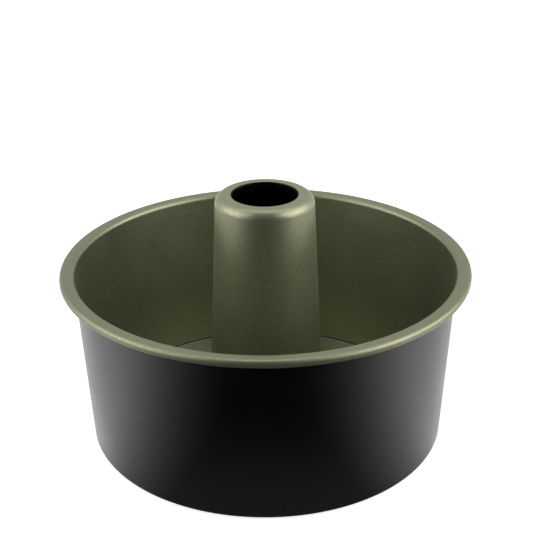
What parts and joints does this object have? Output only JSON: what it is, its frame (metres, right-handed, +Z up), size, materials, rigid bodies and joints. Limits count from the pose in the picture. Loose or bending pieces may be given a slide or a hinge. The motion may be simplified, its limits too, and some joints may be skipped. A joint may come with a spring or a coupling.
{
  "type": "angel food cake pan",
  "caption": "Round tube pan for angel food cake: a tapered outer ring with a rolled rim, and a loose floor with a tall centre tube that lifts out.",
  "frame": {"origin": "centre of the pan on the surface that it stands on", "axes": "+Z up, along the axis of the centre tube; X and Y are alike, because the pan is round"},
  "size_m": [0.25, 0.25, 0.154],
  "materials": {
    "black_coat": "satin near-black coat on the outside of the steel; the food side of the same sheet has the olive coat",
    "olive_coat": "satin olive-bronze non-stick coat with a fine metallic fleck; the underside has the near-black coat",
    "bare_steel": "bare drawn wire, hidden in the rolled rim"
  },
  "bodies": {
    "ring": {"side_ring": "black_coat", "rim_wire": "bare_steel"},
    "insert": {"base_plate": "olive_coat", "centre_tube": "olive_coat"}
  },
  "joints": [
    {"name": "insert_lift", "type": "slide", "parent": "ring", "child": "insert", "axis": [0, 0, 1], "range_m": [0, 0.12]}
  ]
}
